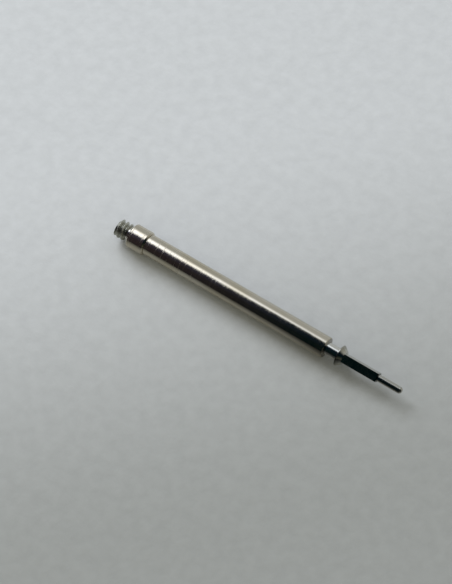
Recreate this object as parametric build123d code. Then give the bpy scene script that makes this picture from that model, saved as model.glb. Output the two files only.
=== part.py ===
from build123d import *
import math
import os

# A two-part winding stem of a mechanical watch, in millimetres. The stem's axis is X, from the crown
# end to the movement end, and X is 0 at the collar face that the crown seats on.

# Thread for the crown
thread_diameter = 0.90
thread_pitch = 0.225
thread_length = 0.77  # from the crown seat to the tip
flank_angle = 30  # degrees, each flank from square to the axis
crest_flat_share = 0.125  # of the pitch
root_flat_share = 0.25  # of the pitch
relief_length = 0.20  # plain neck between the thread and the seat
relief_ease = 0.01  # radial, below the thread's root
post_chamfer = 0.05
tail_step = 0.01  # radial, the tail beyond the thread, so that the seat ring clears the crown's tapping

# Collar that joins the two halves
hub_diameter = 1.18
hub_length = 0.92
seat_chamfer = 0.035
hub_cone_length = 0.07
hub_lip = 0.03  # radial, the cone's end face beyond the sleeve
socket_length = 0.36
socket_clearance = 0.01  # each side of the tang

# Snap ring and its notch in the tang
ring_gap_angle = 70  # degrees, the open part of the ring
ring_ease = 0.005  # radial, off the notch's root
ring_room = 0.06  # radial, for the ring to spread into
ring_side_play = 0.01  # each side of the ring
notch_depth = 0.035
nose_land = 0.045  # full-size tang ahead of the notch
tang_flats = 0.42  # across flats
tang_chamfer = 0.05
tip_clearance = 0.02  # from the tang's nose to the cup in the post

# Sleeve
sleeve_diameter = 1.02
sleeve_length = 9.83
sleeve_chamfer = 0.025

# Spindle
neck_diameter = 0.60  # bottom of the setting-lever groove
neck_length = 0.67
seat_step = 0.03  # radial, the shoulder that the sleeve is pushed against
flange_rim = 0.05
cone_length = 0.28
square_flats = 0.42  # across flats
square_corner_chamfer = 0.02  # along the square's long edges
turning_allowance = 0.01  # radial, milled away with the flats
square_length = 1.75
square_end_chamfer = 0.03
flat_runout = 0.06  # the flats' run into the cone
square_roll = 38  # degrees about the axis, as the stem lies
pilot_diameter = 0.33
pilot_length = 1.25
pilot_tip_length = 0.10
pilot_tip_diameter = 0.16

overrun = 0.05  # past a face that a cut leaves by

# Radii
thread_radius = thread_diameter / 2
crest_flat = crest_flat_share * thread_pitch
root_flat = root_flat_share * thread_pitch
flank_slope = math.tan(math.radians(flank_angle))
thread_depth = (thread_pitch - crest_flat - root_flat) / 2 / flank_slope
root_radius = thread_radius - thread_depth
relief_radius = root_radius - relief_ease
hub_radius = hub_diameter / 2
sleeve_radius = sleeve_diameter / 2
neck_radius = neck_diameter / 2
shank_radius = neck_radius - seat_step
notch_radius = shank_radius - notch_depth
ring_inner_radius = notch_radius + ring_ease
tail_radius = thread_radius + tail_step
ring_wire = tail_radius - ring_room - ring_inner_radius
ring_centre_radius = ring_inner_radius + ring_wire / 2
cup_radius = shank_radius + tip_clearance
flange_radius = sleeve_radius
square_half = square_flats / 2
square_corner_radius = math.hypot(square_half, square_half - square_corner_chamfer)
square_blank_radius = square_corner_radius + turning_allowance
pilot_radius = pilot_diameter / 2

# Places along the axis
thread_tip = -thread_length
hub_end = hub_length
pocket_end = hub_end - socket_length
ring_pocket = ring_wire + 2 * ring_side_play
tail_end = pocket_end - ring_pocket
ring_place = pocket_end - ring_pocket / 2
notch_root_half = ring_wire / 2
notch_half = notch_root_half + notch_depth
tang_tip = ring_place - notch_half - nose_land - tang_chamfer
cup_floor = tang_tip - tip_clearance
sleeve_end = hub_end + sleeve_length
neck_end = sleeve_end + neck_length
rim_end = neck_end + flange_rim
cone_end = rim_end + cone_length
square_end = cone_end + square_length
pilot_end = square_end + pilot_length

along = Axis.X
stem_direction = along.direction
across_yz = Plane.YZ
full_turn = 360


def turned(outline):
    # A solid of revolution about the stem's axis. The outline gives (place, radius) from tip to tip.
    start, end = outline[0][0], outline[-1][0]
    points = [(start, 0)] + list(outline) + [(end, 0)]
    return revolve(make_face(Polyline(*points, close=True)), along)


def rod(start, end, radius):
    return turned([(start, radius), (end, radius)])


def square_bar(start, end, flats, corner_chamfer=0):
    bar = extrude(across_yz.offset(start) * Rectangle(flats, flats), end - start)
    if corner_chamfer:
        bar = chamfer(bar.edges().filter_by(along), corner_chamfer)
    return bar.rotate(along, square_roll)


def mill_flats(work, start, end, flats, corner_chamfer=0):
    # Mills four flats on a turned stretch. What lies outside the square goes.
    return work - (rod(start, end, flange_radius) - square_bar(start, end, flats, corner_chamfer))


def thread_groove():
    # One V groove along a right-hand helix, from a turn before the tip to a turn or more past the
    # thread's end. The helix is made of half turns: cut with longer faces, the screw is lost at some lengths.
    start = thread_tip - thread_pitch
    half_turn = thread_pitch / 2
    half_turns = math.ceil((thread_length - relief_length) / half_turn) + 4
    helix = [
        Helix(thread_pitch, half_turn, root_radius, center=(start + i * half_turn, 0, 0), direction=stem_direction)
        .rotate(along, full_turn / 2 * i)
        .edge()
        for i in range(half_turns)
    ]
    path = Wire(helix)
    outward = (path @ 0) - Vector(start, 0, 0)
    section_plane = Plane(origin=(start, 0, 0), x_dir=stem_direction, z_dir=stem_direction.cross(outward))
    past_crest = crest_flat / 2
    root_half = root_flat / 2
    top_radius = thread_radius + past_crest
    top_half = root_half + (top_radius - root_radius) * flank_slope
    section = make_face(
        section_plane
        * Polyline(
            (-root_half, root_radius),
            (root_half, root_radius),
            (top_half, top_radius),
            (-top_half, top_radius),
            close=True,
        )
    )
    return sweep(section, path=path, is_frenet=True)


def crown_post():
    screw = turned(
        [
            (thread_tip, thread_radius - post_chamfer),
            (thread_tip + post_chamfer, thread_radius),
            (-relief_length, thread_radius),
        ]
    )
    relief_and_tail = turned(
        [
            (-relief_length, relief_radius),
            (0, relief_radius),
            (0, tail_radius),
            (tail_end, tail_radius),
        ]
    )
    cup = rod(cup_floor, tail_end + overrun, cup_radius)
    return (screw - thread_groove()) + (relief_and_tail - cup)


def joint_hub():
    body = turned(
        [
            (0, hub_radius - seat_chamfer),
            (seat_chamfer, hub_radius),
            (hub_end - hub_cone_length, hub_radius),
            (hub_end, sleeve_radius + hub_lip),
        ]
    )
    bore = rod(-overrun, pocket_end, tail_radius)
    socket = square_bar(pocket_end - overrun, hub_end + overrun, tang_flats + 2 * socket_clearance)
    return body - bore - socket


def snap_ring():
    wire = Plane.XY * Pos(ring_place, ring_centre_radius) * Circle(ring_wire / 2)
    ring = revolve(wire, along, full_turn - ring_gap_angle)
    return ring.rotate(along, square_roll + ring_gap_angle / 2)  # the gap faces a flat of the tang


def barrel_sleeve():
    tube = turned(
        [
            (hub_end, sleeve_radius - sleeve_chamfer),
            (hub_end + sleeve_chamfer, sleeve_radius),
            (sleeve_end - sleeve_chamfer, sleeve_radius),
            (sleeve_end, sleeve_radius - sleeve_chamfer),
        ]
    )
    return tube - rod(hub_end - overrun, sleeve_end + overrun, shank_radius)


def spindle():
    blank = turned(
        [
            (tang_tip, shank_radius - tang_chamfer),
            (tang_tip + tang_chamfer, shank_radius),
            (ring_place - notch_half, shank_radius),
            (ring_place - notch_root_half, notch_radius),
            (ring_place + notch_root_half, notch_radius),
            (ring_place + notch_half, shank_radius),
            (sleeve_end, shank_radius),
            (sleeve_end, neck_radius),
            (neck_end, neck_radius),
            (neck_end, flange_radius),
            (rim_end, flange_radius),
            (cone_end, square_blank_radius),
            (square_end - square_end_chamfer, square_blank_radius),
            (square_end, square_blank_radius - square_end_chamfer),
            (square_end, pilot_radius),
            (pilot_end - pilot_tip_length, pilot_radius),
            (pilot_end, pilot_tip_diameter / 2),
        ]
    )
    with_tang = mill_flats(blank, tang_tip - overrun, hub_end, tang_flats)
    return mill_flats(with_tang, cone_end - flat_runout, square_end, square_flats, square_corner_chamfer)


pieces = {
    "crown_post": crown_post(),
    "joint_hub": joint_hub(),
    "snap_ring": snap_ring(),
    "barrel_sleeve": barrel_sleeve(),
    "spindle": spindle(),
}

os.makedirs("parts", exist_ok=True)
for name, shape in pieces.items():
    export_step(shape, f"parts/{name}.step")
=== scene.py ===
import math

import bmesh
import bpy
from mathutils import Matrix, Vector


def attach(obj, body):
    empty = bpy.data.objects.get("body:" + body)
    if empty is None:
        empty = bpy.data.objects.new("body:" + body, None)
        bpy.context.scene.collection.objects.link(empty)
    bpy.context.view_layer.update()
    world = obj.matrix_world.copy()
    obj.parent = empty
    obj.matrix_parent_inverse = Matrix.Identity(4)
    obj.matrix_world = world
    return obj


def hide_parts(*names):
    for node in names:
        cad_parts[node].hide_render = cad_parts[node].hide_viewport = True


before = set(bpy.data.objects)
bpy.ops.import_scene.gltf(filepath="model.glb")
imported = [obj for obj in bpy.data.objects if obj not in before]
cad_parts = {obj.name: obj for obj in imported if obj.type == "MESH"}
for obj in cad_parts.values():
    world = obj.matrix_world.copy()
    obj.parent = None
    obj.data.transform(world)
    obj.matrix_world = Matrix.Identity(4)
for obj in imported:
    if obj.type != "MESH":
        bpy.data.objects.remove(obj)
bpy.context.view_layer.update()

# A two-part winding stem. Its axis is X, from the crown end to the movement end, and X is 0 where the
# crown seats. The pieces are shaped in millimetres and brought to metres when they are finished.

millimetre = 0.001
tiny = 1e-5  # mm, points nearer than this are one
fullTurn = 360  # degrees
noiseMiddle = 0.5  # the value that a noise texture varies about
colourMix = dict(factor=0, first=6, second=7, result=2)  # the colour sockets of a Mix node
alongStem = (1, 0, 0)
print("frame loaded:", ", ".join(sorted(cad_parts)))

shaping = dict(
    holdingLoop=0.012,  # mm from a rounded corner, keeps the long walls' shading straight
    cornerSegments=3,
    creaseAngle=28,  # degrees, sharper edges are left hard
)


def halfSection(corners, closed=False):
    # The half section of a turned piece. A corner is (place, radius) or (place, radius, rounding), in mm.
    hold = shaping["holdingLoop"]
    corners = [(*corner, 0)[:3] for corner in corners]
    following = corners[1:] + (corners[:1] if closed else [])
    bm = bmesh.new()
    made, rounded = [], {}
    for (x, r, rounding), (nextX, nextR, nextRounding) in zip(corners, following):
        here, there = Vector((x, 0, r)), Vector((nextX, 0, nextR))
        made.append(bm.verts.new(here))
        if rounding:
            rounded.setdefault(rounding, []).append(made[-1])
        length = (there - here).length
        before = rounding + hold if rounding else 0
        after = nextRounding + hold if nextRounding else 0
        if length > before + after + hold:
            for distance in ([before] if before else []) + ([length - after] if after else []):
                made.append(bm.verts.new(here.lerp(there, distance / length)))
    if not closed:
        x, r, rounding = corners[-1]
        made.append(bm.verts.new((x, 0, r)))
    for pair in zip(made, made[1:] + (made[:1] if closed else [])):
        bm.edges.new(pair)
    for rounding, verts in rounded.items():
        bmesh.ops.bevel(
            bm, geom=verts, offset=rounding, offset_type="OFFSET", segments=shaping["cornerSegments"],
            profile=0.5, affect="VERTICES", material=-1,
        )
    return bm


def turned(corners, steps, closed=False):
    bm = halfSection(corners, closed)
    bmesh.ops.spin(
        bm, geom=bm.verts[:] + bm.edges[:], cent=(0, 0, 0), axis=alongStem, dvec=(0, 0, 0),
        angle=math.tau, steps=steps, use_merge=True,
    )
    bmesh.ops.remove_doubles(bm, verts=bm.verts, dist=tiny)
    bmesh.ops.recalc_face_normals(bm, faces=bm.faces)
    return bm


def squareBar(stages, cornerChamfer, roll):
    # A bar with a square section, stepped along X. A stage is (place, width across the flats), in mm.
    place, width = stages[0]
    bm = bmesh.new()
    bmesh.ops.create_grid(bm, x_segments=1, y_segments=1, size=width / 2)
    if cornerChamfer:
        bmesh.ops.bevel(
            bm, geom=bm.verts[:], offset=cornerChamfer, offset_type="OFFSET", segments=1, profile=0.5,
            affect="VERTICES", material=-1,
        )
    bmesh.ops.rotate(bm, verts=bm.verts, cent=(0, 0, 0), matrix=Matrix.Rotation(math.pi / 2, 3, "Y"))
    bmesh.ops.translate(bm, verts=bm.verts, vec=(place, 0, 0))
    end = bm.faces[:]
    for nextPlace, nextWidth in stages[1:]:
        edges = {edge for face in end for edge in face.edges}
        grown = bmesh.ops.extrude_face_region(bm, geom=end + list(edges))["geom"]
        end = [part for part in grown if isinstance(part, bmesh.types.BMFace)]
        verts = [part for part in grown if isinstance(part, bmesh.types.BMVert)]
        bmesh.ops.translate(bm, verts=verts, vec=(nextPlace - place, 0, 0))
        bmesh.ops.scale(bm, verts=verts, vec=(1, nextWidth / width, nextWidth / width))
        place, width = nextPlace, nextWidth
    bmesh.ops.rotate(bm, verts=bm.verts, cent=(0, 0, 0), matrix=Matrix.Rotation(math.radians(roll), 3, "X"))
    bmesh.ops.recalc_face_normals(bm, faces=bm.faces)
    return bm


def carved(work, tool, operation):
    # Cuts the work with the tool, or keeps what both share, and returns the new mesh.
    holders = []
    for shape in (work, tool):
        mesh = bpy.data.meshes.new("blank")
        shape.to_mesh(mesh)
        shape.free()
        holders.append(bpy.data.objects.new("blank", mesh))
        bpy.context.scene.collection.objects.link(holders[-1])
    cut = holders[0].modifiers.new("cut", "BOOLEAN")
    cut.operation, cut.solver, cut.object = operation, "EXACT", holders[1]
    bpy.context.view_layer.update()
    result = bpy.data.meshes.new_from_object(holders[0].evaluated_get(bpy.context.evaluated_depsgraph_get()))
    bm = bmesh.new()
    bm.from_mesh(result)
    leftovers = [result] + [holder.data for holder in holders]
    for holder in holders:
        bpy.data.objects.remove(holder)
    for mesh in leftovers:
        bpy.data.meshes.remove(mesh)
    bmesh.ops.remove_doubles(bm, verts=bm.verts, dist=tiny)
    return bm


def finished(name, bm, material):
    crease = math.radians(shaping["creaseAngle"])
    for face in bm.faces:
        face.smooth = True
    for edge in bm.edges:
        edge.smooth = edge.calc_face_angle(0) < crease
    bmesh.ops.scale(bm, verts=bm.verts, vec=(millimetre, millimetre, millimetre))
    mesh = bpy.data.meshes.new(name)
    bm.to_mesh(mesh)
    openEdges = sum(not edge.is_manifold for edge in bm.edges)
    bm.free()
    mesh.materials.append(material)
    piece = bpy.data.objects.new(name, mesh)
    bpy.context.scene.collection.objects.link(piece)
    print(f"{name}: {len(mesh.polygons)} faces, {openEdges} open edges")
    return piece


class Channel:
    # A node's output that can be used in sums.
    def __init__(self, shading, socket):
        self.shading = shading
        self.socket = socket

    def worked(self, operation, first, second):
        return self.shading.node("ShaderNodeMath", {"operation": operation}, [first, second])

    def __add__(self, other):
        return self.worked("ADD", self, other)

    def __radd__(self, other):
        return self.worked("ADD", other, self)

    def __sub__(self, other):
        return self.worked("SUBTRACT", self, other)

    def __rsub__(self, other):
        return self.worked("SUBTRACT", other, self)

    def __mul__(self, other):
        return self.worked("MULTIPLY", self, other)

    def __rmul__(self, other):
        return self.worked("MULTIPLY", other, self)

    def __truediv__(self, other):
        return self.worked("DIVIDE", self, other)

    def __rtruediv__(self, other):
        return self.worked("DIVIDE", other, self)


class Shading:
    # Builds a node tree.
    def __init__(self, tree):
        self.tree = tree
        tree.nodes.clear()

    def node(self, kind, settings=None, values=None, output=0):
        made = self.tree.nodes.new(kind)
        for name, setting in (settings or {}).items():
            setattr(made, name, setting)
        pairs = enumerate(values) if isinstance(values, list) else (values or {}).items()
        for key, value in pairs:
            if isinstance(value, Channel):
                self.tree.links.new(value.socket, made.inputs[key])
            else:
                made.inputs[key].default_value = value
        return Channel(self, made.outputs[output]) if made.outputs else made

    def mix(self, factor, first, second):
        values = {colourMix["factor"]: factor, colourMix["first"]: first, colourMix["second"]: second}
        return self.node("ShaderNodeMix", {"data_type": "RGBA"}, values, output=colourMix["result"])

    def rise(self, value, low, high, start=0, end=1):
        # From start below low to end above high, by a soft curve
        values = [value, low, high, start, end]
        return self.node("ShaderNodeMapRange", {"interpolation_type": "SMOOTHSTEP"}, values)

    def between(self, value, rising, falling):
        # 1 past the first pair of edges and before the second, and 0 outside them
        return self.rise(value, *rising) * self.rise(value, *falling, 1, 0)

    def slope(self, value, low, high, start, end):
        # The same as rise, but straight
        return self.node("ShaderNodeMapRange", {}, [value, low, high, start, end])

    def inMillimetres(self):
        place = self.node("ShaderNodeTexCoord", output="Object")
        return self.node("ShaderNodeVectorMath", {"operation": "SCALE"}, {0: place, "Scale": 1 / millimetre})

    def parts(self, vector):
        split = self.node("ShaderNodeSeparateXYZ", {}, [vector])
        return [Channel(self, output) for output in split.socket.node.outputs]

    def grain(self, place, perMm, aroundShare=1, detail=2):
        # Noise with perMm bumps to the millimetre along the stem, and aroundShare times as many across it
        across = perMm * aroundShare
        stretched = self.node("ShaderNodeMapping", {}, {0: place, "Scale": (perMm, across, across)})
        return self.node("ShaderNodeTexNoise", {}, {"Vector": stretched, "Scale": 1, "Detail": detail})

    def relief(self, height, depth, normal=None):
        # A bump of that depth in mm
        values = {"Strength": 1, "Distance": depth * millimetre, "Height": height}
        if normal:
            values["Normal"] = normal
        return self.node("ShaderNodeBump", {}, values)


def colour(rgb, brightness=1):
    return (*(level * brightness for level in rgb), 1)


def newMaterial(name):
    material = bpy.data.materials.new(name)
    material.use_nodes = True
    return material, Shading(material.node_tree)


def metalSurface(shading, baseColour, roughness, normal):
    surface = shading.node("ShaderNodeBsdfPrincipled", {}, {
        "Base Color": baseColour, "Metallic": 1, "Roughness": roughness, "Normal": normal,
    })
    shading.node("ShaderNodeOutputMaterial", {}, {"Surface": surface})


# The bright nickel plate on the barrel and the collar
nickel = dict(
    plain=(0.59, 0.545, 0.445), warm=(0.55, 0.495, 0.375),
    cloudsPerMm=0.55, cloudsAround=2, cloudEdges=(0.42, 0.72),
    polish=0.075, haze=0.15, hazePerMm=1.6, hazeAround=2, hazeShare=0.7, hazeEdges=(0.35, 0.75),
    turnedLinesPerMm=22, lineDepth=0.0003, ringsPerMm=4.5, ringDepth=0.0013, aroundShare=0.02,
    calmRings=0.55, calmFrom=1.2, calmTo=3.2,  # the rings are deepest beside the joint
    calmLines=0.25, linesFrom=4.5, linesTo=9.5,  # the plate is smoother at the other end
    ticksPerMm=12, tickEdges=(0.52, 0.68), tickRoughness=0.24, tickShade=0.08, tickBrightness=0.4,
    fewTicks=0.25, ticksFrom=2.0, ticksTo=6.5,  # the ticks thin out along the barrel
    shadedEnd=(0.30, 0.275, 0.225), shadedEndFrom=10.738, shadedEndTo=10.746,  # mm, painted shade on the barrel's end face
)


def nickelPlate():
    n = nickel
    material, s = newMaterial("nickelPlate")
    place = s.inMillimetres()
    x = s.parts(place)[0]
    clouds = s.grain(place, n["cloudsPerMm"], n["cloudsAround"], detail=3)
    lines = s.grain(place, n["turnedLinesPerMm"], n["aroundShare"], detail=3)
    rings = s.grain(place, n["ringsPerMm"], n["aroundShare"])
    haze = s.grain(place, n["hazePerMm"], n["hazeAround"], detail=4)
    ticks = s.rise(s.grain(place, n["ticksPerMm"], n["aroundShare"], detail=1), *n["tickEdges"])
    ticks = ticks * s.rise(x, n["ticksFrom"], n["ticksTo"], 1, n["fewTicks"])
    baseColour = s.mix(s.rise(clouds, *n["cloudEdges"]), colour(n["plain"]), colour(n["warm"]))
    baseColour = s.mix(ticks * n["tickShade"], baseColour, colour(n["warm"], n["tickBrightness"]))
    # Painted shade darkens the barrel's end face
    baseColour = s.mix(s.rise(x, n["shadedEndFrom"], n["shadedEndTo"]), baseColour, colour(n["shadedEnd"]))
    calm = s.rise(x, n["linesFrom"], n["linesTo"], 1, n["calmLines"])
    uneven = haze * n["hazeShare"] + lines * (1 - n["hazeShare"])
    hazy = s.slope(uneven, *n["hazeEdges"], 0, n["haze"] - n["polish"])
    roughness = n["polish"] + hazy * calm + ticks * n["tickRoughness"]
    ringHeight = (rings - noiseMiddle) * calm * s.rise(x, n["calmFrom"], n["calmTo"], 1, n["calmRings"])
    normal = s.relief((lines - noiseMiddle) * calm, n["lineDepth"], s.relief(ringHeight, n["ringDepth"]))
    metalSurface(s, baseColour, roughness, normal)
    return material


# The plain steel of the threaded post, with painted shade in the thread's roots
postSteel = dict(
    crest=(0.48, 0.48, 0.415), root=(0.33, 0.33, 0.27), rootRadius=0.335, crestRadius=0.435,
    roughness=0.30, rootRoughness=0.42, marksPerMm=26, marksAround=0.4, markDepth=0.0006,
    wander=0.05,  # mm, how far the crests' colour strays from its radius
    bright=(0.62, 0.60, 0.53), brightRoughness=0.12, brightFrom=-0.205, brightTo=-0.19,  # the polished relief
)


def cutSteel():
    p = postSteel
    material, s = newMaterial("cutSteel")
    place = s.inMillimetres()
    x, y, z = s.parts(place)
    outwards = s.node("ShaderNodeCombineXYZ", {}, [0, y, z])
    radius = s.node("ShaderNodeVectorMath", {"operation": "LENGTH"}, {0: outwards}, output="Value")
    marks = s.grain(place, p["marksPerMm"], p["marksAround"], detail=3)
    crestMask = s.rise(radius + (marks - noiseMiddle) * p["wander"], p["rootRadius"], p["crestRadius"])
    reliefMask = s.rise(x, p["brightFrom"], p["brightTo"])
    # The roots are darker than the crests: painted shade in the thread's grooves
    threadColour = s.mix(crestMask, colour(p["root"]), colour(p["crest"]))
    threadRoughness = s.slope(crestMask, 0, 1, p["rootRoughness"], p["roughness"])
    baseColour = s.mix(reliefMask, threadColour, colour(p["bright"]))
    roughness = threadRoughness + reliefMask * (p["brightRoughness"] - threadRoughness)
    metalSurface(s, baseColour, roughness, s.relief(marks, p["markDepth"]))
    return material


# The hardened and polished steel of the spindle
spindleSteel = dict(
    plain=(0.68, 0.67, 0.615), dull=(0.60, 0.59, 0.53), dullEdges=(0.45, 0.7),
    polish=0.06, haze=0.11, hazePerMm=2.5, hazeAround=2, hazeEdges=(0.35, 0.7),
    milled=(0.50, 0.49, 0.44), milledFrom=(11.74, 11.80),  # mm, the square and the pilot are greyer
    linesPerMm=24, lineDepth=0.00005, aroundShare=0.03,
    darkSquareEnd=(0.10, 0.10, 0.09), darkEndFrom=(13.455, 13.465), darkEndTo=(13.502, 13.506),  # mm, the square's end face is darker
    rim=(0.39, 0.38, 0.33), rimShadeFrom=(11.40, 11.42), rimShadeTo=(11.465, 11.76),  # mm, painted shade on the flange's rim, fading out over its cone
)


def polishedSteel():
    p = spindleSteel
    material, s = newMaterial("polishedSteel")
    place = s.inMillimetres()
    x = s.parts(place)[0]
    lines = s.grain(place, p["linesPerMm"], p["aroundShare"], detail=3)
    haze = s.grain(place, p["hazePerMm"], p["hazeAround"], detail=4)
    baseColour = s.mix(s.rise(haze, *p["dullEdges"]), colour(p["plain"]), colour(p["dull"]))
    baseColour = s.mix(s.rise(x, *p["milledFrom"]), baseColour, colour(p["milled"]))
    # Painted shade darkens the flange's rim and the start of its cone
    baseColour = s.mix(s.between(x, p["rimShadeFrom"], p["rimShadeTo"]), baseColour, colour(p["rim"]))
    baseColour = s.mix(s.between(x, p["darkEndFrom"], p["darkEndTo"]), baseColour, colour(p["darkSquareEnd"]))
    roughness = s.slope(haze, *p["hazeEdges"], p["polish"], p["haze"])
    metalSurface(s, baseColour, roughness, s.relief(lines, p["lineDepth"]))
    return material


# Drawn spring wire
springWire = dict(
    plain=(0.42, 0.42, 0.44), roughness=0.22,
    marksPerMm=18, marksAround=0.2, markDepth=0.0003, markBrightness=0.8,
)


def drawnWire():
    w = springWire
    material, s = newMaterial("drawnWire")
    place = s.inMillimetres()
    marks = s.grain(place, w["marksPerMm"], w["marksAround"])
    baseColour = s.mix(marks, colour(w["plain"]), colour(w["plain"], w["markBrightness"]))
    metalSurface(s, baseColour, w["roughness"], s.relief(marks, w["markDepth"]))
    return material


nickelMaterial = nickelPlate()
postMaterial = cutSteel()
spindleMaterial = polishedSteel()
wireMaterial = drawnWire()
print("materials made")

# Sleeve pressed on the spindle
barrel = dict(
    start=0.92, end=10.75, radius=0.51, bore=0.27, startChamfer=0.018, endChamfer=0.035,
    rounding=0.008, steps=192,
)
b = barrel
barrelSleeve = finished("barrelSleeve", turned([
    (b["start"], b["bore"]),
    (b["start"], b["radius"] - b["startChamfer"], b["rounding"]),
    (b["start"] + b["startChamfer"], b["radius"], b["rounding"]),
    (b["end"] - b["endChamfer"], b["radius"], b["rounding"]),
    (b["end"], b["radius"] - b["endChamfer"], b["rounding"]),
    (b["end"], b["bore"]),
], b["steps"], closed=True), nickelMaterial)
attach(barrelSleeve, "movement_half")
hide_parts("barrel_sleeve")

# Collar that joins the two halves, with the square socket for the spindle's tang
collar = dict(
    end=0.92, radius=0.59, seatChamfer=0.055, cone=0.07, lip=0.54, bore=0.46, pocketEnd=0.56,
    socket=0.44, roll=38, rounding=0.008, overrun=0.05, steps=192,
)
c = collar
jointHub = finished("jointHub", carved(
    turned([
        (0, c["bore"]),
        (0, c["radius"] - c["seatChamfer"], c["rounding"]),
        (c["seatChamfer"], c["radius"], c["rounding"]),
        (c["end"] - c["cone"], c["radius"], c["rounding"]),
        (c["end"], c["lip"], c["rounding"]),
        (c["end"], 0),
        (c["pocketEnd"], 0),
        (c["pocketEnd"], c["bore"]),
    ], c["steps"], closed=True),
    squareBar([
        (c["pocketEnd"] - c["overrun"], c["socket"]),
        (c["end"] + c["overrun"], c["socket"]),
    ], 0, c["roll"]),
    "DIFFERENCE",
), nickelMaterial)
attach(jointHub, "crown_half")
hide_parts("joint_hub")

# Threaded post for the crown, with its plain tail inside the collar
post = dict(
    tip=-0.77, threadEnd=-0.20, radius=0.45, depth=0.1218, pitch=0.225, crestFlat=0.028, rootFlat=0.056,
    softening=0.012, softeningSteps=2, seam=1e-4,  # mm, between turns that meet
    leadPitches=1.5, extraTurns=3,  # what the screw is longer by, before it is cut to length
    tipChamfer=0.05, tipRings=4, relief=0.318, reliefRounding=0.01, tail=0.46, tailEnd=0.38,
    cup=0.29, cupFloor=0.24, threadSteps=120, steps=128,
)


def threadShell():
    p = post
    flank = (p["pitch"] - p["crestFlat"] - p["rootFlat"]) / 2
    turns = math.ceil((p["threadEnd"] - p["tip"]) / p["pitch"]) + p["extraTurns"]
    start = p["tip"] - p["leadPitches"] * p["pitch"]
    bm = bmesh.new()
    made = []
    for turn in range(turns):
        for offset, radius in (
            (0, p["radius"]),
            (p["crestFlat"], p["radius"]),
            (p["crestFlat"] + flank, p["radius"] - p["depth"]),
            (p["pitch"] - flank, p["radius"] - p["depth"]),
        ):
            made.append(bm.verts.new((start + turn * p["pitch"] + offset, 0, radius)))
    for pair in zip(made, made[1:]):
        bm.edges.new(pair)
    bmesh.ops.bevel(
        bm, geom=made[1:-1], offset=p["softening"], offset_type="OFFSET", segments=p["softeningSteps"],
        profile=0.5, affect="VERTICES", material=-1,
    )
    # One turn that also moves along by a pitch, so that each turn meets the next
    bmesh.ops.spin(
        bm, geom=bm.verts[:] + bm.edges[:], cent=(0, 0, 0), axis=alongStem,
        dvec=(p["pitch"] / p["threadSteps"], 0, 0), angle=math.tau, steps=p["threadSteps"], use_merge=False,
    )
    bmesh.ops.remove_doubles(bm, verts=bm.verts, dist=p["seam"])
    for step in range(p["tipRings"]):  # more edges where the lead-in will be
        bmesh.ops.bisect_plane(
            bm, geom=bm.verts[:] + bm.edges[:] + bm.faces[:], dist=tiny,
            plane_co=(p["tip"] + p["tipChamfer"] * (step + 1) / p["tipRings"], 0, 0), plane_no=alongStem,
        )
    for place, outwards in ((p["tip"], -1), (p["threadEnd"], 1)):
        cut = bmesh.ops.bisect_plane(
            bm, geom=bm.verts[:] + bm.edges[:] + bm.faces[:], dist=tiny, plane_co=(place, 0, 0),
            plane_no=(outwards, 0, 0), clear_outer=True,
        )
        rim = [part for part in cut["geom_cut"] if isinstance(part, bmesh.types.BMEdge)]
        bmesh.ops.holes_fill(bm, edges=rim, sides=0)
    for vert in bm.verts:  # the lead-in at the tip
        limit = p["radius"] - max(0, p["tip"] + p["tipChamfer"] - vert.co.x)
        reach = math.hypot(vert.co.y, vert.co.z)
        if reach > limit:
            vert.co.y *= limit / reach
            vert.co.z *= limit / reach
    bmesh.ops.recalc_face_normals(bm, faces=bm.faces)
    return bm


p = post
crownPost = finished("crownPost", carved(
    threadShell(),
    turned([
        (p["threadEnd"] - p["tipChamfer"], 0),
        (p["threadEnd"] - p["tipChamfer"], p["relief"]),
        (0, p["relief"], p["reliefRounding"]),
        (0, p["tail"]),
        (p["tailEnd"], p["tail"]),
        (p["tailEnd"], p["cup"]),
        (p["cupFloor"], p["cup"]),
        (p["cupFloor"], 0),
    ], p["steps"]),
    "UNION",
), postMaterial)
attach(crownPost, "crown_half")
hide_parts("crown_post")

# Open ring of spring wire that grips the tang's notch
ring = dict(place=0.47, centre=0.32, wire=0.08, opening=70, roll=38, around=72, section=24)
r = ring
wireSection = bmesh.new()
bmesh.ops.create_circle(wireSection, cap_ends=True, segments=r["section"], radius=r["wire"])
bmesh.ops.translate(wireSection, verts=wireSection.verts, vec=(r["place"], r["centre"], 0))
bmesh.ops.rotate(
    wireSection, verts=wireSection.verts, cent=(0, 0, 0),
    matrix=Matrix.Rotation(math.radians(r["roll"] + r["opening"] / 2), 3, "X"),
)
bmesh.ops.spin(
    wireSection, geom=wireSection.verts[:] + wireSection.edges[:] + wireSection.faces[:], cent=(0, 0, 0),
    axis=alongStem, dvec=(0, 0, 0), angle=math.radians(fullTurn - r["opening"]), steps=r["around"],
    use_merge=False,
)
bmesh.ops.recalc_face_normals(wireSection, faces=wireSection.faces)
snapRing = finished("snapRing", wireSection, wireMaterial)
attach(snapRing, "crown_half")
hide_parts("snap_ring")

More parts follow.
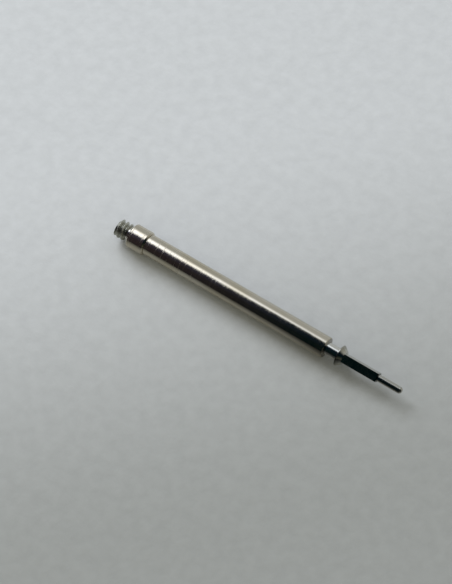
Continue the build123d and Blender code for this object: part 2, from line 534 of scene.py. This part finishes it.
# Spindle: tang, shank, groove, flange, square and pilot
core = dict(
    tangTip=0.26, tangChamfer=0.05, shank=0.27, tangFlats=0.42, tangEnd=0.92, notchPlace=0.47,
    notchHalf=0.115, notchRootHalf=0.08, notch=0.235, shoulder=10.75, neck=0.30, neckRounding=0.006,
    neckEnd=11.42, flange=0.51, rimEnd=11.47, rimRounding=0.02, coneEnd=11.75, blank=0.293,
    runout=0.06, squareFlats=0.42, cornerChamfer=0.01, squareEnd=13.50, endChamfer=0.03,
    pilot=0.165, pilotEnd=14.75, pilotTip=0.10, pilotTipRadius=0.08, pilotRounding=0.03,
    roll=38, clear=1.4, overrun=0.05, steps=160,
)
k = core
coreSpindle = finished("coreSpindle", carved(
    turned([
        (k["tangTip"], 0),
        (k["tangTip"], k["shank"] - k["tangChamfer"]),
        (k["tangTip"] + k["tangChamfer"], k["shank"]),
        (k["notchPlace"] - k["notchHalf"], k["shank"]),
        (k["notchPlace"] - k["notchRootHalf"], k["notch"]),
        (k["notchPlace"] + k["notchRootHalf"], k["notch"]),
        (k["notchPlace"] + k["notchHalf"], k["shank"]),
        (k["shoulder"], k["shank"]),
        (k["shoulder"], k["neck"]),
        (k["neckEnd"], k["neck"], k["neckRounding"]),
        (k["neckEnd"], k["flange"], k["rimRounding"]),
        (k["rimEnd"], k["flange"], k["rimRounding"]),
        (k["coneEnd"], k["blank"]),
        (k["squareEnd"] - k["endChamfer"], k["blank"]),
        (k["squareEnd"], k["blank"] - k["endChamfer"]),
        (k["squareEnd"], k["pilot"]),
        (k["pilotEnd"] - k["pilotTip"], k["pilot"], k["pilotRounding"]),
        (k["pilotEnd"], k["pilotTipRadius"], k["pilotRounding"]),
        (k["pilotEnd"], 0),
    ], k["steps"]),
    squareBar([
        (k["tangTip"] - k["overrun"], k["tangFlats"]),
        (k["tangEnd"], k["tangFlats"]),
        (k["tangEnd"], k["clear"]),
        (k["coneEnd"] - k["runout"], k["clear"]),
        (k["coneEnd"] - k["runout"], k["squareFlats"]),
        (k["squareEnd"], k["squareFlats"]),
        (k["squareEnd"], k["clear"]),
        (k["pilotEnd"] + k["overrun"], k["clear"]),
    ], k["cornerChamfer"], k["roll"]),
    "INTERSECT",
), spindleMaterial)
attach(coreSpindle, "movement_half")
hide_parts("spindle")
print("pieces made")

# The sheet that the stem lies on. Its nap keeps the collar a hair above it.
paper = dict(
    size=0.8, collarRadius=0.59, nap=0.04,  # m across, the others in mm
    lit=(0.585, 0.61, 0.615), shaded=(0.345, 0.36, 0.345), roughness=0.9, gloss=0.1,
    shadeAlong=(0.739, -0.673), shadeFrom=-5.5, shadeTo=16,  # mm, the sheet darkens that way
    grainPerMm=1.7, grainDepth=0.02, mottle=0.035, mottleEdges=(0.3, 0.7),
    dimFrom=0.6, dimAlong=(1.5, 10.9), dimOver=(1.8, 0.21),  # mm, a painted shadow on the near side, which only the metal's reflection shows
)
f = paper
floorMesh = bpy.data.meshes.new("sheet")
bm = bmesh.new()
bmesh.ops.create_grid(bm, x_segments=1, y_segments=1, size=f["size"] / 2)
bmesh.ops.translate(bm, verts=bm.verts, vec=(0, 0, -(f["collarRadius"] + f["nap"]) * millimetre))
bm.to_mesh(floorMesh)
bm.free()
floor = bpy.data.objects.new("sheet", floorMesh)
bpy.context.scene.collection.objects.link(floor)

material, s = newMaterial("paper")
place = s.inMillimetres()
x, y = s.parts(place)[:2]
shadeX, shadeY = f["shadeAlong"]
shade = s.rise(x * shadeX + y * shadeY, f["shadeFrom"], f["shadeTo"])
grain = s.grain(place, f["grainPerMm"], detail=3)
mottled = s.slope(grain, *f["mottleEdges"], 1 - f["mottle"], 1 + f["mottle"])
# A painted shadow on the sheet's near side, growing away from the stem, seen only in the metal's reflection
dimOver = s.slope(x, *f["dimAlong"], *f["dimOver"])
away = s.node("ShaderNodeMath", {"operation": "MAXIMUM"}, [y * -1 - f["dimFrom"], 0])
inMetal = s.node("ShaderNodeLightPath", output="Is Glossy Ray")
dimmed = mottled * (1 - inMetal * away / (away + dimOver))
paperColour = s.node("ShaderNodeVectorMath", {"operation": "SCALE"}, {
    0: s.mix(shade, colour(f["lit"]), colour(f["shaded"])), "Scale": dimmed,
})
surface = s.node("ShaderNodeBsdfPrincipled", {}, {
    "Base Color": paperColour, "Roughness": f["roughness"], "Specular IOR Level": f["gloss"],
    "Normal": s.relief(grain, f["grainDepth"]),
})
s.node("ShaderNodeOutputMaterial", {}, {"Surface": surface})
floorMesh.materials.append(material)

# The room. Turn is the angle round the stem in degrees, 0 overhead and plus towards the viewer's side.
# Lean is the reflected direction's share along the stem. Metal reflects a bright window high on the far
# side, pale walls under it and a dark viewer's side. The sheet gets a soft light from all round.
room = dict(
    backdrop=(0.66, 0.68, 0.67), wall=(0.49, 0.51, 0.52),
    windowLeft=(2.45, 2.56, 2.87), windowRight=(1.25, 1.32, 1.46), leftLean=-0.36, rightLean=-0.27,
    windowNear=(10, -17), windowFar=(-32, -31), nearFade=(9, 8), farFade=16,  # degrees, left and right
    tipLean=(-0.2597, -0.2575), tipGain=0.25, tipShift=8,  # the window's right end, which the neck reflects
    windowEnd=(-0.250, -0.240), nextFrom=(-0.16, -0.10), nextTo=(0.08, 0.22), endNear=-2,
    sideLean=(0.30, 0.45), sideWall=(0.41, 0.41, 0.38), sideNear=-27, sideFade=24,
    darkTopLeft=(0.074, 0.067, 0.109), darkTopRight=(0.002, 0.009, 0.016),
    darkLowLeft=(0.042, 0.030, 0.039), darkLowRight=(0.0005, 0.006, 0.007), darkFrom=12, darkTo=55,
    bench=(0.08, 0.083, 0.066), benchTurn=(35, 100),  # seen only in the cones
    softNear=(0.52, 0.49, 0.385), softFar=(0.495, 0.51, 0.56), softFade=60,
)
w = room
world = bpy.data.worlds.new("room")
bpy.context.scene.world = world
world.use_nodes = True
s = Shading(world.node_tree)
lean, depth, height = s.parts(s.node("ShaderNodeTexCoord", output="Generated"))
turn = s.node("ShaderNodeMath", {"operation": "ARCTAN2"}, [depth * -1, height]) * (180 / math.pi)
rightShare = s.slope(lean, w["leftLean"], w["rightLean"], 0, 1)
pastWindow = s.rise(lean, *w["windowEnd"]) * (1 - s.between(lean, w["nextFrom"], w["nextTo"]))
tipShare = s.slope(lean, *w["tipLean"], 0, 1)
sideShare = s.rise(lean, *w["sideLean"])
nearEdge = s.slope(rightShare, 0, 1, *w["windowNear"]) + tipShare * w["tipShift"]
pastNear = s.slope(sideShare, 0, 1, w["endNear"], w["sideNear"])
fromNearEdge = turn - nearEdge - pastWindow * (pastNear - nearEdge)
fromFarEdge = turn - s.slope(rightShare, 0, 1, *w["windowFar"])
nearFade = s.slope(rightShare, 0, 1, *w["nearFade"]) + sideShare * (w["sideFade"] - w["nearFade"][1])
farSide = s.rise(fromNearEdge, nearFade * -1, nearFade, 1, 0)
inWindow = s.rise(fromFarEdge, -w["farFade"], w["farFade"]) * (1 - pastWindow)
windowColour = s.mix(rightShare, colour(w["windowLeft"]), colour(w["windowRight"]))
windowColour = s.node("ShaderNodeVectorMath", {"operation": "SCALE"}, {
    0: windowColour, "Scale": 1 + tipShare * w["tipGain"],
})
lowShare = s.rise(turn, w["darkFrom"], w["darkTo"])
darkLeft = s.mix(lowShare, colour(w["darkTopLeft"]), colour(w["darkLowLeft"]))
darkRight = s.mix(lowShare, colour(w["darkTopRight"]), colour(w["darkLowRight"]))
onBench = sideShare * s.rise(turn, *w["benchTurn"])
dark = s.mix(onBench, s.mix(rightShare, darkLeft, darkRight), colour(w["bench"]))
wall = s.mix(sideShare, colour(w["wall"]), colour(w["sideWall"]))
reflected = s.mix(farSide, dark, s.mix(inWindow, wall, windowColour))
soft = s.mix(s.slope(turn, -w["softFade"], w["softFade"], 0, 1), colour(w["softFar"]), colour(w["softNear"]))
onMetal = s.node("ShaderNodeLightPath", output="Is Glossy Ray")
seen = s.node("ShaderNodeLightPath", output="Is Camera Ray")
around = s.mix(seen, s.mix(onMetal, soft, reflected), colour(w["backdrop"]))
background = s.node("ShaderNodeBackground", {}, {"Color": around, "Strength": 1})
s.node("ShaderNodeOutputWorld", {}, {"Surface": background})

# The window's own light, which the metal gets from the room instead
window = dict(
    direction=(-0.95, 0.42, 0.80), distance=0.26, width=0.115, length=0.20,  # distances in m
    energy=0.58, tint=(0.98, 1, 1.08),
)
light = bpy.data.lights.new("window", "AREA")
light.shape, light.size, light.size_y = "RECTANGLE", window["length"], window["width"]
light.energy, light.color = window["energy"], window["tint"]
lamp = bpy.data.objects.new("window", light)
lamp.location = Vector(window["direction"]).normalized() * window["distance"]
lamp.rotation_euler = Vector(window["direction"]).to_track_quat("Z", "Y").to_euler()
lamp.visible_glossy = False
bpy.context.scene.collection.objects.link(lamp)

# The camera stands above the stem and a little towards its movement end. Angles are in degrees, the
# distance, the place that it aims at and the shifts in mm, and the clipping distances in m.
view = dict(
    azimuth=34.43, elevation=57.90, distance=120, aim=5.7, right=0.371, up=-0.101,
    lens=162.39, sensor=36, clip=(0.01, 5),
)
v = view
azimuth, elevation = math.radians(v["azimuth"]), math.radians(v["elevation"])
level = math.cos(elevation)
back = Vector((math.sin(azimuth) * level, -math.cos(azimuth) * level, math.sin(elevation)))
right = Vector((math.cos(azimuth), math.sin(azimuth), 0))
up = back.cross(right)
camera = bpy.data.objects.new("camera", bpy.data.cameras.new("camera"))
camera.data.lens, camera.data.sensor_width = v["lens"], v["sensor"]
camera.data.clip_start, camera.data.clip_end = v["clip"]
place = Vector((v["aim"], 0, 0)) + back * v["distance"] - right * v["right"] - up * v["up"]
camera.matrix_world = Matrix.Translation(place * millimetre) @ Matrix((right, up, back)).transposed().to_4x4()
bpy.context.scene.collection.objects.link(camera)
bpy.context.scene.camera = camera
bpy.context.scene.view_settings.view_transform = "Standard"
print("room, light and camera set")
